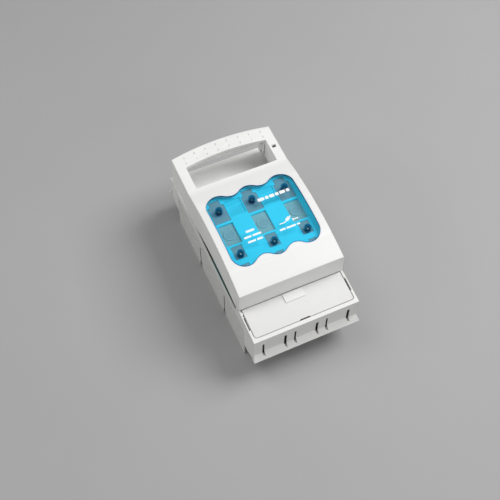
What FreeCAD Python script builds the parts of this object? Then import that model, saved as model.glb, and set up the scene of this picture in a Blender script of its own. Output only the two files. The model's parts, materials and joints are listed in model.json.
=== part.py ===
"""Three-pole fuse switch-disconnector for blade-type (knife) cartridge fuse-links, busbar mounted.

The base housing holds the contacts, the terminals and the busbar hooks. The swinging lid is the
handle: it carries the three cartridge fuse-links, and opening it pulls their blades out of the jaws.

Frame, in millimetres: X across the three poles, +Y towards the handle, +Z away from the busbars.
The origin is on the middle busbar's centre line, in the plane that the side skirts stand on.
"""
import FreeCAD, Part
import math
import os
import Sketcher

Vector = FreeCAD.Vector
doc = FreeCAD.newDocument("fuse_switch")

# ---------------------------------------------------------------- driving dimensions

DIMENSIONS = {
    # housing
    "body_width": 106.0, "base_low_y": -100.0, "base_high_y": 106.0, "base_wall": 2.2,
    "chamber_wall": 1.2, "guard_top_z": 61.5, "shield_sheet": 0.6,
    "end_wall": 2.5, "low_end_wall": 3.7, "floor_z": 30.0, "floor_thickness": 3.0,
    "rim_z": 57.0, "rim_dip_z": 52.6, "low_rim_z": 63.2, "deck_end_y": -63.0, "wall_foot_z": 20.0,
    "crease_z": 38.5, "flange_z": 32.0, "flange_high_z": 30.6, "flange_reach": 5.0,
    "flange_side": 1.7, "flange_tip": 1.2,
    # terminal covers
    "cover_slope": 0.1, "cover_sheet": 2.4, "cover_gap": 0.7, "cover_corner": 2.8,
    "cover_slot": 5.0, "grip_half": 10.0, "clip_slit_low": -87.0, "clip_slit_high": -73.5,
    "clip_slit_x": 52.0, "high_cover_sheet": 1.5,
    # side skirts
    "skirt_low_y": -78.0, "skirt_high_y": 89.0, "skirt_thickness": 1.9, "skirt_top_z": 50.0,
    "skirt_slit": 2.2, "skirt_slit_top": 36.0, "skirt_band": 5.0, "rib_pitch": 2.0,
    "rib_groove": 0.9, "rib_depth": 0.55,
    # knock-out tabs in the end walls
    "tab_width": 22.4, "tab_pitch": 32.3, "tab_slot": 2.3, "tab_top_z": 54.0, "tab_recess": 0.8,
    # poles and fuse-links, size 00
    "pole_pitch": 33.8, "fuse_y": -2.0, "fuse_body_length": 48.0, "fuse_body_width": 27.0,
    "fuse_body_low": 46.5, "fuse_body_high": 91.0, "fuse_corner": 3.0, "cap_thickness": 1.5,
    "blade_thickness": 6.0, "blade_width": 15.0, "blade_low_z": 49.0, "blade_reach": 39.25,
    "blade_chamfer": 1.5, "lug_width": 9.0, "lug_depth": 2.2,
    # contacts and terminals
    "jaw_gap": 6.6, "jaw_leaf": 2.0, "jaw_length": 12.0, "jaw_floor_z": 43.0, "bar_thickness": 3.0,
    "jaw_tip_z": 62.0, "bar_width": 12.0, "spring_sheet": 0.8, "terminal_y": -82.0,
    "clamp_length": 12.0, "screw_radius": 3.0, "screw_head": 5.0,
    # busbars, 30 x 10 mm on 60 mm centres
    "busbar_pitch": 60.0, "busbar_width": 30.0, "busbar_thickness": 10.0, "busbar_back_z": 5.0,
    "hook_thickness": 2.4,
    # lid
    "lid_top_width": 104.0, "lid_low_y": -65.5, "lid_side_y": 98.0, "lid_crown_y": 103.4,
    "lid_draft": 1.35, "lid_edge_z": 62.0, "lid_edge_rise": 5.5, "lid_wall": 2.2, "lid_skin": 2.2,
    "lid_low_z": 90.4, "lid_arc_z": 100.9, "lid_crease_y": 55.0, "lid_crease_z": 94.4,
    "lid_high_z": 96.0, "lid_front_edge_z": 67.4, "edge_round": 0.9,
    "joint_line_y": -41.0, "dimple_radius": 1.15, "dimple_pitch": 11.65,
    "opening_width": 84.8, "opening_low_y": 57.3, "opening_side_y": 83.8, "opening_crown_y": 87.7,
    "bar_inner_y": 88.2, "bar_depth": 8.3, "arm_wall": 2.0, "arm_foot_z": 68.5,
    # window
    "window_half_x": 44.3, "window_top_y": 38.8, "window_bottom_y": -42.0, "window_wave": 5.8,
    "window_lobe": 31.0, "window_corner": 13.3, "window_proud": 0.9, "window_sheet": 2.2,
    "window_gap": 0.25, "test_hole": 2.6, "test_hole_y": 25.2,
    # hinge
    "hinge_y": -59.0, "hinge_z": 79.0, "pin_radius": 1.8, "pin_fit": 0.05, "ear_radius": 3.6,
    "bracket_x": 44.6, "bracket_thickness": 4.0,
    # the origin is put under the middle of the whole device
    "frame_shift": -3.0,
}


class Size:
    """A length that knows its value and the spreadsheet expression it comes from."""

    def __init__(self, value, text):
        self.value = float(value)
        self.text = text

    def _with(self, other, sign, result):
        return Size(result, f"({self.text} {sign} {size(other).text})")

    def __add__(self, other):
        return self._with(other, "+", self.value + size(other).value)

    def __sub__(self, other):
        return self._with(other, "-", self.value - size(other).value)

    def __mul__(self, other):
        return self._with(other, "*", self.value * size(other).value)

    def __truediv__(self, other):
        return self._with(other, "/", self.value / size(other).value)

    def __radd__(self, other):
        return size(other) + self

    def __rsub__(self, other):
        return size(other) - self

    def __rmul__(self, other):
        return size(other) * self

    def __neg__(self):
        return size(0) - self


def size(number):
    """Any number as a Size."""
    if isinstance(number, Size):
        return number
    return Size(number, f"{number:.6g}" if number >= 0 else f"(0 - {-number:.6g})")


def make_sheet():
    """Writes the driving dimensions into the spreadsheet and returns them as Sizes."""
    sheet = doc.addObject("Spreadsheet::Sheet", "Sizes")
    for row, (alias, value) in enumerate(DIMENSIONS.items(), start=1):
        sheet.set(f"A{row}", alias.replace("_", " "))
        sheet.set(f"B{row}", str(value))
        sheet.setAlias(f"B{row}", alias)
    doc.recompute()
    return {alias: Size(value, f"Sizes.{alias}") for alias, value in DIMENSIONS.items()}


D = make_sheet()

# ---------------------------------------------------------------- modelling helpers

# Each origin plane's sketch axes as indices into (x, y, z), its normal's axis and its sign.
PLANES = {"XY_Plane": (0, 1, 2, 1), "XZ_Plane": (0, 2, 1, -1), "YZ_Plane": (1, 2, 0, 1)}
WAVE_BULGE = 0.27
pieces = []


def arc(via, end):
    """A path entry: an arc from the previous point through via to end."""
    return ("arc", via, end)


def rectangle(low, high):
    """The four corners of a rectangle between two opposite corners."""
    return [low, (high[0], low[1]), high, (low[0], high[1])]


def circle(centre, radius):
    """A path that is one full circle."""
    return ("circle", centre, radius)


class Piece:
    """One PartDesign body, built from pads and pockets of bound sketches."""

    def __init__(self, name):
        self.name = name
        self.body = doc.addObject("PartDesign::Body", name)
        self.body.Label = name
        self.count = 0
        pieces.append(self.body)

    def _new(self, kind, stem):
        self.count += 1
        return self.body.newObject(kind, f"{self.name}_{stem}_{self.count}")

    def _sketch(self, plane, paths, level):
        sketch = self._new("Sketcher::SketchObject", "sketch")
        support = [f for f in self.body.Origin.OriginFeatures if f.Role == plane][0]
        sketch.AttachmentSupport = [(support, "")]
        sketch.MapMode = "FlatFace"
        offset = size(level) * PLANES[plane][3]
        sketch.setExpression("AttachmentOffset.Base.z", offset.text)
        for path in paths:
            draw(sketch, path)
        return sketch

    def _extrude(self, kind, plane, paths, low, high, taper=None):
        """Extrudes between two levels along the plane's world axis."""
        low, high = size(low), size(high)
        forward = PLANES[plane][3] > 0
        start = low if forward == (kind == "Pad") else high
        sketch = self._sketch(plane, paths, start)
        feature = self._new(f"PartDesign::{kind}", kind.lower())
        feature.Profile = sketch
        feature.setExpression("Length", (high - low).text)
        if taper is not None:
            feature.setExpression("TaperAngle", taper.text)
        return feature

    def pad(self, plane, paths, low, high, taper=None):
        self._extrude("Pad", plane, as_paths(paths), low, high, taper)
        return self

    def pocket(self, plane, paths, low, high):
        self._extrude("Pocket", plane, as_paths(paths), low, high)
        return self

    def block(self, low, high):
        """Adds a box between two opposite corners."""
        return self.pad("XY_Plane", rectangle(low[:2], high[:2]), low[2], high[2])

    def cut_block(self, low, high):
        """Removes a box between two opposite corners."""
        return self.pocket("XY_Plane", rectangle(low[:2], high[:2]), low[2], high[2])

    def hang(self, outline, height, depth, taper):
        """Adds an outline drawn at a height and extruded downwards with a draft."""
        sketch = self._sketch("XY_Plane", as_paths(outline), height)
        feature = self._new("PartDesign::Pad", "pad")
        feature.Profile = sketch
        feature.Reversed = True
        feature.setExpression("Length", size(depth).text)
        feature.setExpression("TaperAngle", taper.text)
        return self

    def repeat(self, role, spacing, count):
        """Repeats the last feature along an axis, once for every spacing."""
        last = self.body.Tip
        pattern = self._new("PartDesign::LinearPattern", "pattern")
        pattern.Originals = [last]
        axis = [f for f in self.body.Origin.OriginFeatures if f.Role == role][0]
        pattern.Direction = (axis, [""])
        pattern.setExpression("Length", (size(spacing) * (count - 1)).text)
        pattern.Occurrences = count
        self.body.Tip = pattern
        return self

    def dress(self, kind, amount, wanted):
        """Rounds or chamfers every edge of the present shape that wanted() accepts."""
        doc.recompute()
        tip = self.body.Tip
        names = [f"Edge{i + 1}" for i, edge in enumerate(tip.Shape.Edges) if wanted(edge)]
        if not names:
            raise RuntimeError(f"{self.name}: no edge to {kind}")
        feature = self._new(f"PartDesign::{kind}", kind.lower())
        feature.Base = (tip, names)
        value = "Radius" if kind == "Fillet" else "Size"
        feature.setExpression(value, size(amount).text)
        return self


def as_paths(paths):
    """One path or a list of paths as a list of paths."""
    if isinstance(paths, tuple):
        return [paths]
    several = isinstance(paths[0], list) or paths[0][0] == "circle"
    return paths if several else [paths]


def bind(sketch, kind, geometry, point, value):
    """Ties one coordinate of a sketch point to an expression. kind is DistanceX or DistanceY."""
    index = sketch.addConstraint(Sketcher.Constraint(kind, -1, 1, geometry, point, value.value))
    if not value.text.replace(".", "").isdigit():
        sketch.setExpression(f"Constraints[{index}]", value.text)


def pin_point(sketch, geometry, point, place):
    bind(sketch, "DistanceX", geometry, point, size(place[0]))
    bind(sketch, "DistanceY", geometry, point, size(place[1]))


def draw(sketch, path):
    """Draws one closed path of lines and arcs, or one circle, and binds all its points."""
    if path[0] == "circle":
        _, centre, radius = path
        centre_at = Vector(size(centre[0]).value, size(centre[1]).value, 0)
        shape = Part.Circle(centre_at, Vector(0, 0, 1), size(radius).value)
        index = sketch.addGeometry(shape)
        pin_point(sketch, index, 3, centre)
        bound = sketch.addConstraint(Sketcher.Constraint("Radius", index, size(radius).value))
        sketch.setExpression(f"Constraints[{bound}]", size(radius).text)
        return
    here = path[0]
    edges = []
    closed = path[-1][0] == "arc" and (plane_point(path[-1][2]) - plane_point(here)).Length < 1e-6
    for entry in path[1:] if closed else path[1:] + [here]:
        is_arc = entry[0] == "arc"
        there = entry[2] if is_arc else entry
        start, end = plane_point(here), plane_point(there)
        if is_arc:
            middle = plane_point(entry[1])
            index = sketch.addGeometry(Part.Arc(start, middle, end))
            swapped = (sketch.getPoint(index, 1) - start).Length > 1e-6
            dot = sketch.addGeometry(Part.Point(middle), True)
            pin_point(sketch, dot, 1, entry[1])
            sketch.addConstraint(Sketcher.Constraint("PointOnObject", dot, 1, index))
        else:
            index = sketch.addGeometry(Part.LineSegment(start, end))
            swapped = False
        edges.append((index, 2 if swapped else 1, 1 if swapped else 2, here))
        here = there
    for number, (index, head, _, place) in enumerate(edges):
        before = edges[number - 1]
        sketch.addConstraint(Sketcher.Constraint("Coincident", before[0], before[2], index, head))
        pin_point(sketch, index, head, place)


def plane_point(place):
    return Vector(size(place[0]).value, size(place[1]).value, 0)


def pole_names():
    """(number, X centre) of the three poles, from left to right."""
    return [(number + 1, D["pole_pitch"] * (number - 1)) for number in range(3)]


def mirrored(name, build):
    """Builds a left and a right piece: build(piece, side) with side -1 or 1."""
    for word, side in (("left", -1), ("right", 1)):
        build(Piece(f"{name}_{word}"), side)


def x_span(side, near, far):
    """Low and high X of a slab between two distances from the mid-plane, on one side."""
    near, far = size(near), size(far)
    return (near, far) if side > 0 else (-far, -near)


def inside(edge, box):
    """True where an edge's middle lies in a box (x0, y0, z0, x1, y1, z1)."""
    middle = edge.valueAt((edge.FirstParameter + edge.LastParameter) / 2)
    return all(low <= value <= high for low, value, high in zip(box[:3], middle, box[3:]))


def is_vertical(edge):
    """True for a straight edge along Z."""
    a, b = edge.Vertexes[0].Point, edge.Vertexes[-1].Point
    return abs(a.x - b.x) < 1e-3 and abs(a.y - b.y) < 1e-3 and abs(a.z - b.z) > 1


# ---------------------------------------------------------------- shared levels

half_width = D["body_width"] / 2
inner_x = half_width - D["base_wall"]
low_y, high_y = D["base_low_y"], D["base_high_y"]
floor_top = D["floor_z"] + D["floor_thickness"]
deck_high_z = D["low_rim_z"] + D["cover_slope"] * (D["deck_end_y"] - low_y)
skirt_recess_x = half_width - D["skirt_thickness"]
chamber_x = skirt_recess_x - 1.7
fuse_low_y = D["fuse_y"] - D["fuse_body_length"] / 2
fuse_high_y = D["fuse_y"] + D["fuse_body_length"] / 2
cap_low_y = fuse_low_y - D["cap_thickness"]
cap_high_y = fuse_high_y + D["cap_thickness"]
blade_low_y = D["fuse_y"] - D["blade_reach"]
blade_high_y = D["fuse_y"] + D["blade_reach"]
blade_high_z = D["blade_low_z"] + D["blade_width"]
jaw_top_z = D["jaw_floor_z"] + D["bar_thickness"]
high_cover_y = size(56)
busbar_front_z = D["busbar_back_z"] + D["busbar_thickness"] + 1.2
low_strip_z = size(39.6)
low_jaw_y = (blade_low_y + 0.6, blade_low_y + 0.6 + D["jaw_length"])
high_jaw_y = (blade_high_y - 0.6 - D["jaw_length"], blade_high_y - 0.6)


# ---------------------------------------------------------------- base housing

def end_slots():
    """X centres of the six slots that free the three knock-out tabs of an end wall."""
    offsets = []
    for tab in (-1, 0, 1):
        offsets.append(D["tab_pitch"] * tab - D["tab_width"] / 2)
        offsets.append(D["tab_pitch"] * tab + D["tab_width"] / 2)
    return offsets


def base_outline():
    """Side view of the housing: stepped rim, end walls, flared flanges and sloping foot."""
    low_tip, high_tip = low_y - D["flange_reach"], high_y + D["flange_reach"]
    rim_turn, rim_step, rim_low = 38.0, D["deck_end_y"] - 3.3, D["deck_end_y"] + 4.5
    return [
        (low_y, D["low_rim_z"]), (rim_step, deck_high_z - 0.3), (rim_step, D["low_rim_z"] + 1.7),
        (rim_low, D["low_rim_z"] + 1.7), (rim_low, D["rim_dip_z"]),
        arc((size(-8), D["rim_dip_z"] + 1.2), (size(rim_turn), D["rim_z"])),
        (high_y, D["rim_z"]), (high_y, D["crease_z"]), (high_tip, D["flange_high_z"]),
        (high_tip - D["flange_tip"], D["flange_high_z"] - 1), (D["skirt_high_y"], D["wall_foot_z"]),
        (size(-86), D["wall_foot_z"]), (low_tip + D["flange_tip"], D["flange_z"] - 1),
        (low_tip, D["flange_z"]), (low_y, D["crease_z"]),
    ]


def make_base():
    base = Piece("base_housing")
    base.pad("YZ_Plane", base_outline(), -half_width, half_width)
    top = deck_high_z + 5
    ends = (low_y + D["low_end_wall"], high_y - D["end_wall"])
    step_z = D["skirt_top_z"] + 1.5
    base.cut_block((-inner_x, ends[0], step_z), (inner_x, ends[1], top))
    base.cut_block((-chamber_x, ends[0], floor_top), (chamber_x, ends[1], step_z + 0.1))
    round_corners(base, D["cover_corner"] + D["cover_gap"], (inner_x.value, ends[0].value))
    for side in (-1, 1):
        low, high = x_span(side, inner_x - 0.1, half_width - D["chamber_wall"])
        base.cut_block((low, D["deck_end_y"] + 5, step_z), (high, high_cover_y, top))
    under = rectangle((-inner_x, low_y - 3.2), (inner_x, high_y + 3.2))
    base.pocket("XY_Plane", under, 0, D["floor_z"])
    for side in (-1, 1):
        low, high = x_span(side, skirt_recess_x, half_width + 1)
        seat_y = (D["skirt_low_y"] - 0.1, D["skirt_high_y"] + 0.1)
        base.cut_block((low, seat_y[0], size(0)), (high, seat_y[1], D["skirt_top_z"] + 0.1))
        low, high = x_span(side, inner_x - 0.5, half_width + 1)
        base.cut_block((low, seat_y[0], size(0)), (high, seat_y[1], D["floor_z"]))
    widen_flanges(base)
    cut_tabs(base)
    add_deck_frame(base)
    cut_cover_seats(base)
    add_lock_rails(base)
    for number, pole_x in pole_names():
        riser_y = riser_place(number)
        slot_top = floor_top + 1 if number > 1 else jaw_top_z + 1
        base.cut_block((pole_x - 7, riser_y - 3, D["floor_z"] - 1), (pole_x + 7, riser_y + 3, slot_top))
    return base


def round_corners(piece, radius, corner):
    """Rounds the two vertical edges at (-x, y) and (x, y)."""
    x, y = corner
    piece.dress("Fillet", radius, lambda e: is_vertical(e) and abs(abs(e.Vertexes[0].X) - x) < 0.01
                and abs(e.Vertexes[0].Y - y) < 0.01)


def housing_ends():
    """(Y, direction, flange height) of the low and the high end wall."""
    return ((low_y, -1, D["flange_z"]), (high_y, 1, D["flange_high_z"]))


def widen_flanges(base):
    """The flared lips at both ends spread sideways as well."""
    for end_y, way, flange_z in housing_ends():
        tip_y = end_y + D["flange_reach"] * way
        near, far = (tip_y, end_y) if way < 0 else (end_y, tip_y)
        wide = half_width + D["flange_side"]
        for side in (-1, 1):
            lip = [((half_width - 1) * side, D["crease_z"] - 1), (half_width * side, D["crease_z"] - 1),
                   (wide * side, flange_z), ((half_width - 1) * side, flange_z)]
            base.pad("XZ_Plane", lip, near, far)
        wedge = [(end_y, D["crease_z"]), (tip_y + 0.01 * way, flange_z),
                 (tip_y + 2 * way, D["crease_z"])]
        base.pocket("YZ_Plane", wedge, -half_width - 4, half_width + 4)


def cut_tabs(base):
    """Slots and shallow recesses of the knock-out tabs in both end walls."""
    for end_y, way, flange_z in housing_ends():
        outer, inner = end_y + (D["flange_reach"] + 1) * way, end_y - (D["end_wall"] + 1) * way
        low, high = (outer, inner) if way < 0 else (inner, outer)
        slots = [rectangle((x - D["tab_slot"] / 2, flange_z + 2.2),
                           (x + D["tab_slot"] / 2, D["tab_top_z"])) for x in end_slots()]
        base.pocket("XZ_Plane", slots, low, high)
        face = end_y - D["tab_recess"] * way
        low, high = (end_y - 1, face) if way < 0 else (face, end_y + 1)
        panels = [rectangle((D["tab_pitch"] * tab - D["tab_width"] / 2 + 0.7, D["crease_z"]),
                            (D["tab_pitch"] * tab + D["tab_width"] / 2 - 0.7, D["tab_top_z"] - 0.5))
                  for tab in (-1, 0, 1)]
        base.pocket("XZ_Plane", panels, low, high)


def add_deck_frame(base):
    """Ledges inside the low end that the terminal cover rests on, and its cross wall."""
    ledge_top = D["low_rim_z"] - 2.6
    for side in (-1, 1):
        low, high = x_span(side, inner_x - 3, inner_x + 0.5)
        base.block((low, low_y + D["end_wall"] - 0.5, ledge_top - 2.5), (high, D["deck_end_y"], ledge_top))
    for near, top in ((D["deck_end_y"] - 1.8, ledge_top), (high_cover_y, D["rim_z"] - 0.8)):
        base.block((-inner_x - 0.1, near, D["floor_z"] + 1), (inner_x + 0.1, near + 1.8, top))
    for number, pole_x in pole_names():
        half = D["bar_width"] / 2 + 0.6
        passage = (D["jaw_floor_z"] - 0.6, jaw_top_z + 0.6)
        base.cut_block((pole_x - half, D["deck_end_y"] - 3, passage[0]),
                       (pole_x + half, D["deck_end_y"] + 1, passage[1]))
        base.block((pole_x - 5, size(-74), floor_top - 0.5), (pole_x + 5, size(-67), D["jaw_floor_z"]))
        post_top = D["jaw_floor_z"] if number < 3 else low_strip_z - D["bar_thickness"]
        base.block((pole_x - 5, size(27), floor_top - 0.5), (pole_x + 5, size(35), post_top))


def cut_cover_seats(base):
    """Clip slits beside the low cover, and the seat of the high cover on the end wall."""
    foot = D["low_rim_z"] - 10
    for side in (-1, 1):
        low, high = x_span(side, inner_x - 0.3, D["clip_slit_x"])
        base.cut_block((low, D["clip_slit_low"], foot), (high, D["clip_slit_high"], deck_high_z + 1))
    for notch_y in (-72.8, -68.0):
        base.cut_block((-D["clip_slit_x"], size(notch_y), foot),
                       (-inner_x + 0.3, size(notch_y + 1.5), deck_high_z + 1))
    base.cut_block((-inner_x, high_y - D["end_wall"] - 0.1, D["rim_z"] - 2),
                   (inner_x, high_y + 1, D["rim_z"] + 1))


def add_lock_rails(base):
    """Two lipped rails under the floor that guide the busbar lock."""
    for near, far, lip in ((10.2, 11.7, 13.0), (25.8, 24.3, 23.0)):
        left, right = min(near, far), max(near, far)
        lip_left, lip_right = min(far, lip), max(far, lip)
        base.block((size(left), size(-76), size(23.6)), (size(right), size(70), D["floor_z"] + 1))
        if lip_left >= right:
            base.block((size(right - 0.5), size(-76), size(23.6)), (size(lip_right), size(70), size(25)))
        else:
            base.block((size(lip_left), size(-76), size(23.6)), (size(left + 0.5), size(70), size(25)))


def riser_place(number):
    """Y of the riser that takes a pole down to its own busbar."""
    return {1: D["busbar_pitch"] - 1.5, 2: size(-1.5), 3: -D["busbar_pitch"] + 1.5}[number]


# ---------------------------------------------------------------- skirts and fixed housing pieces

def make_skirts():
    """Ribbed side skirts that cover the busbars, with slits that make three break-out panels."""
    low, high = D["skirt_low_y"], D["skirt_high_y"]

    def build(piece, side):
        near, far = x_span(side, half_width - D["skirt_thickness"], half_width)
        piece.block((near, low, size(0)), (far, high, D["skirt_top_z"]))
        for slit_y in (-D["busbar_pitch"] / 2, D["busbar_pitch"] / 2):
            for half, top in ((D["skirt_slit"] / 2, D["skirt_slit_top"]), (size(2.6), size(7))):
                piece.cut_block((near - 1, slit_y - half, size(-1)), (far + 1, slit_y + half, top))
        groove_near, groove_far = x_span(side, half_width - D["rib_depth"], half_width + 1)
        start = D["skirt_band"]
        piece.cut_block((groove_near, low + 1, start), (groove_far, high - 1, start + D["rib_groove"]))
        count = int((D["skirt_top_z"].value - start.value - 1.5) / D["rib_pitch"].value)
        piece.repeat("Z_Axis", D["rib_pitch"], count)

    mirrored("side_skirt", build)


def make_barriers():
    """Plates between the poles."""
    def build(piece, side):
        middle = D["pole_pitch"] / 2 * side
        piece.block((middle - 0.8, size(-60), floor_top), (middle + 0.8, size(54), size(60)))
        piece.cut_block((middle - 2, size(-61), size(48)), (middle + 2, size(-46), size(61)))

    mirrored("phase_barrier", build)


def make_guards():
    """Coloured touch guards that stand on both side walls, behind the lid's arched edge."""
    def build(piece, side):
        near, far = x_span(side, chamber_x + 0.6, chamber_x + 1.4)
        piece.block((near, size(-42), D["skirt_top_z"] + 1.5), (far, size(1), D["guard_top_z"]))

    mirrored("touch_guard", build)


def make_low_cover():
    """Unclipping cover over the outgoing terminals, with its gripping pad and a screwdriver slot."""
    near, far = low_y + D["low_end_wall"] + 0.6, D["deck_end_y"] - 3.15
    half_x = inner_x - D["cover_gap"]
    top_near = D["low_rim_z"] + D["cover_slope"] * (near - low_y)
    top_far = D["low_rim_z"] + D["cover_slope"] * (far - low_y)
    sheet = D["cover_sheet"]
    cover = Piece("lower_terminal_cover")
    plate = [(near, top_near - sheet), (far, top_far - sheet), (far, top_far), (near, top_near)]
    cover.pad("YZ_Plane", plate, -half_x, half_x)
    round_corners(cover, D["cover_corner"], (half_x.value, near.value))
    slot = D["cover_slot"]
    cover.cut_block((-slot, near - 1, size(50)), (slot, near + 0.9, size(70)))
    cover.dress("Fillet", 0.6, lambda e: inside(e, (-60, -97, 62.9, 60, -95.5, 64)) and e.Length > 20)
    pad = Piece("cover_grip_pad")
    pad_near, pad_far = far - 9.4, far - 0.6
    pad_side = [(pad_near, top_far - 0.9), (pad_far, top_far - 0.05), (pad_far, top_far + 1.0),
                (pad_near, top_far - 0.1)]
    pad.pad("YZ_Plane", pad_side, -D["grip_half"], D["grip_half"])


def make_high_cover():
    """Cover over the line side, between the handle and the base, flush over the end wall."""
    cover = Piece("upper_terminal_cover")
    far = high_y - 0.1
    plate = [(high_cover_y, D["rim_z"] - 0.5), (far, high_cover_z(far) - D["high_cover_sheet"]),
             (far, high_cover_z(far)), (high_cover_y, high_cover_z(high_cover_y))]
    cover.pad("YZ_Plane", plate, -inner_x + 0.3, inner_x - 0.3)


def high_cover_z(y):
    """Height of the upper cover's front face at a place along Y."""
    return D["rim_z"] + 2.2 - (size(y) - high_cover_y) * 0.05


def make_brackets():
    """Swan-neck hinge brackets: the lid's front wall turns past them."""
    bore = D["pin_radius"] + D["pin_fit"]
    hinge_y, hinge_z, ear = D["hinge_y"], D["hinge_z"], D["ear_radius"]

    def build(piece, side):
        low, high = x_span(side, D["bracket_x"], D["bracket_x"] + D["bracket_thickness"])
        neck_y = hinge_y + 14.5
        outline = [
            (hinge_y, hinge_z - ear), (neck_y - 1, hinge_z - ear), (neck_y - 1, floor_top),
            (neck_y + 9, floor_top), (neck_y + 9, hinge_z), (neck_y + 5, hinge_z + ear),
            (hinge_y, hinge_z + ear), arc((hinge_y - ear, hinge_z), (hinge_y, hinge_z - ear)),
        ]
        piece.pad("YZ_Plane", outline, low, high)
        piece.pocket("YZ_Plane", circle((hinge_y, hinge_z), bore), low - 1, high + 1)

    mirrored("hinge_bracket", build)


def make_sealing_lug():
    """A pierced tab that stands up inside the right handle arm, for a wire seal."""
    lug = Piece("sealing_lug")
    outline = [(size(78), high_cover_z(78)), (size(87), high_cover_z(87)), (size(87), size(80)),
               (size(84), size(80)), (size(84), size(61.5)), (size(78), size(61.5))]
    lug.pad("YZ_Plane", outline, 45.6, 48.6)
    lug.pocket("YZ_Plane", circle((85.5, 76.5), 0.9), 44, 50)


def make_housing_screws():
    """Four screws that tie the floor to the skirts' inner bosses."""
    group = doc.addObject("Part::Compound", "housing_screws")
    group.Label = "housing_screws"
    solids = []
    for number, (x, y) in enumerate([(-44, -52), (44, -30), (-44, 30), (44, 48)], start=1):
        head = cylinder(f"screw_head_{number}", (x, y, floor_top), 3.4, 2.2)
        socket = doc.addObject("Part::Prism", f"screw_socket_{number}")
        socket.Polygon = 6
        socket.Circumradius = 1.8
        socket.Height = 3
        socket.setExpression("Placement.Base.x", size(x).text)
        socket.setExpression("Placement.Base.y", size(y).text)
        socket.setExpression("Placement.Base.z", (floor_top + 0.9).text)
        screw = doc.addObject("Part::Cut", f"housing_screw_{number}")
        screw.Base, screw.Tool = head, socket
        solids.append(screw)
    group.Links = solids
    pieces.append(group)


def cylinder(name, foot, radius, height):
    """A Part cylinder standing on foot along +Z, bound to the sheet."""
    rod = doc.addObject("Part::Cylinder", name)
    rod.setExpression("Radius", size(radius).text)
    rod.setExpression("Height", size(height).text)
    for axis, value in zip("xyz", foot):
        rod.setExpression(f"Placement.Base.{axis}", size(value).text)
    return rod


# ---------------------------------------------------------------- contacts

def jaw_section(pole_x):
    """Front view of a contact jaw: a U of two leaves that flare at their tips."""
    gap, leaf = D["jaw_gap"] / 2, D["jaw_leaf"]
    base_z, tip_z = D["jaw_floor_z"], D["jaw_tip_z"]
    right = [
        (pole_x + gap + leaf, base_z), (pole_x + gap + leaf, tip_z - 3),
        (pole_x + gap + leaf + 1.6, tip_z), (pole_x + gap + 1.6, tip_z),
        (pole_x + gap, tip_z - 3), (pole_x + gap, jaw_top_z),
    ]
    left = [(pole_x * 2 - x, z) for x, z in reversed(right)]
    return right + left


def make_load_contacts():
    """Lower jaws with the bars that run out to the terminals."""
    for number, pole_x in pole_names():
        contact = Piece(f"load_contact_{number}")
        contact.pad("XZ_Plane", jaw_section(pole_x), low_jaw_y[0], low_jaw_y[1])
        half = D["bar_width"] / 2
        contact.block((pole_x - half, D["terminal_y"] - 7, D["jaw_floor_z"]),
                      (pole_x + half, low_jaw_y[1], jaw_top_z))
        contact.pocket("XY_Plane", circle((pole_x, D["terminal_y"]), D["screw_radius"] + 0.2),
                       D["jaw_floor_z"] - 1, jaw_top_z + 1)


def make_line_contacts():
    """Upper jaws, each with a riser down through the floor to its own busbar."""
    half = D["bar_width"] / 2
    for number, pole_x in pole_names():
        contact = Piece(f"line_contact_{number}")
        contact.pad("XZ_Plane", jaw_section(pole_x), high_jaw_y[0], high_jaw_y[1])
        riser_y = riser_place(number)
        left, right = pole_x - half, pole_x + half
        strip_z = jaw_top_z if number < 3 else low_strip_z
        strip_low = strip_z - D["bar_thickness"]
        if number == 3:
            contact.block((left, high_jaw_y[1] - 3, strip_low), (right, high_jaw_y[1], jaw_top_z))
        ends = sorted([riser_y - 1.5, high_jaw_y[0] if number == 1 else high_jaw_y[1]], key=lambda v: v.value)
        if number == 1:
            ends = [high_jaw_y[0], riser_y + 1.5]
        contact.block((left, ends[0], strip_low), (right, ends[1], strip_z))
        contact.block((left, riser_y - 1.5, busbar_front_z), (right, riser_y + 1.5, strip_z))
        bar_y = D["busbar_pitch"] * (2 - number)
        contact.block((left, bar_y - 9, busbar_front_z), (right, bar_y + 9, busbar_front_z + 2.5))


def make_jaw_springs():
    """Steel clips that press the leaves of each jaw together."""
    for where, span in (("upper", high_jaw_y), ("lower", low_jaw_y)):
        for number, pole_x in pole_names():
            spring = Piece(f"{where}_jaw_spring_{number}")
            near = D["jaw_gap"] / 2 + D["jaw_leaf"]
            far = near + D["spring_sheet"]
            low_z, high_z = jaw_top_z + 0.6, D["jaw_tip_z"] - 10
            low, high = span[0] - 2.8, span[1] + 0.2
            ring = [(pole_x - far, low), (pole_x + far, low), (pole_x + far, high), (pole_x + near, high),
                    (pole_x + near, low + D["spring_sheet"]), (pole_x - near, low + D["spring_sheet"]),
                    (pole_x - near, high), (pole_x - far, high)]
            if where == "upper":
                low, high = span[0] - 0.2, span[1] + 2.8
                ring = [(pole_x - far, high), (pole_x - far, low), (pole_x - near, low),
                        (pole_x - near, high - D["spring_sheet"]), (pole_x + near, high - D["spring_sheet"]),
                        (pole_x + near, low), (pole_x + far, low), (pole_x + far, high)]
            spring.pad("XY_Plane", ring, low_z, high_z)


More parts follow.
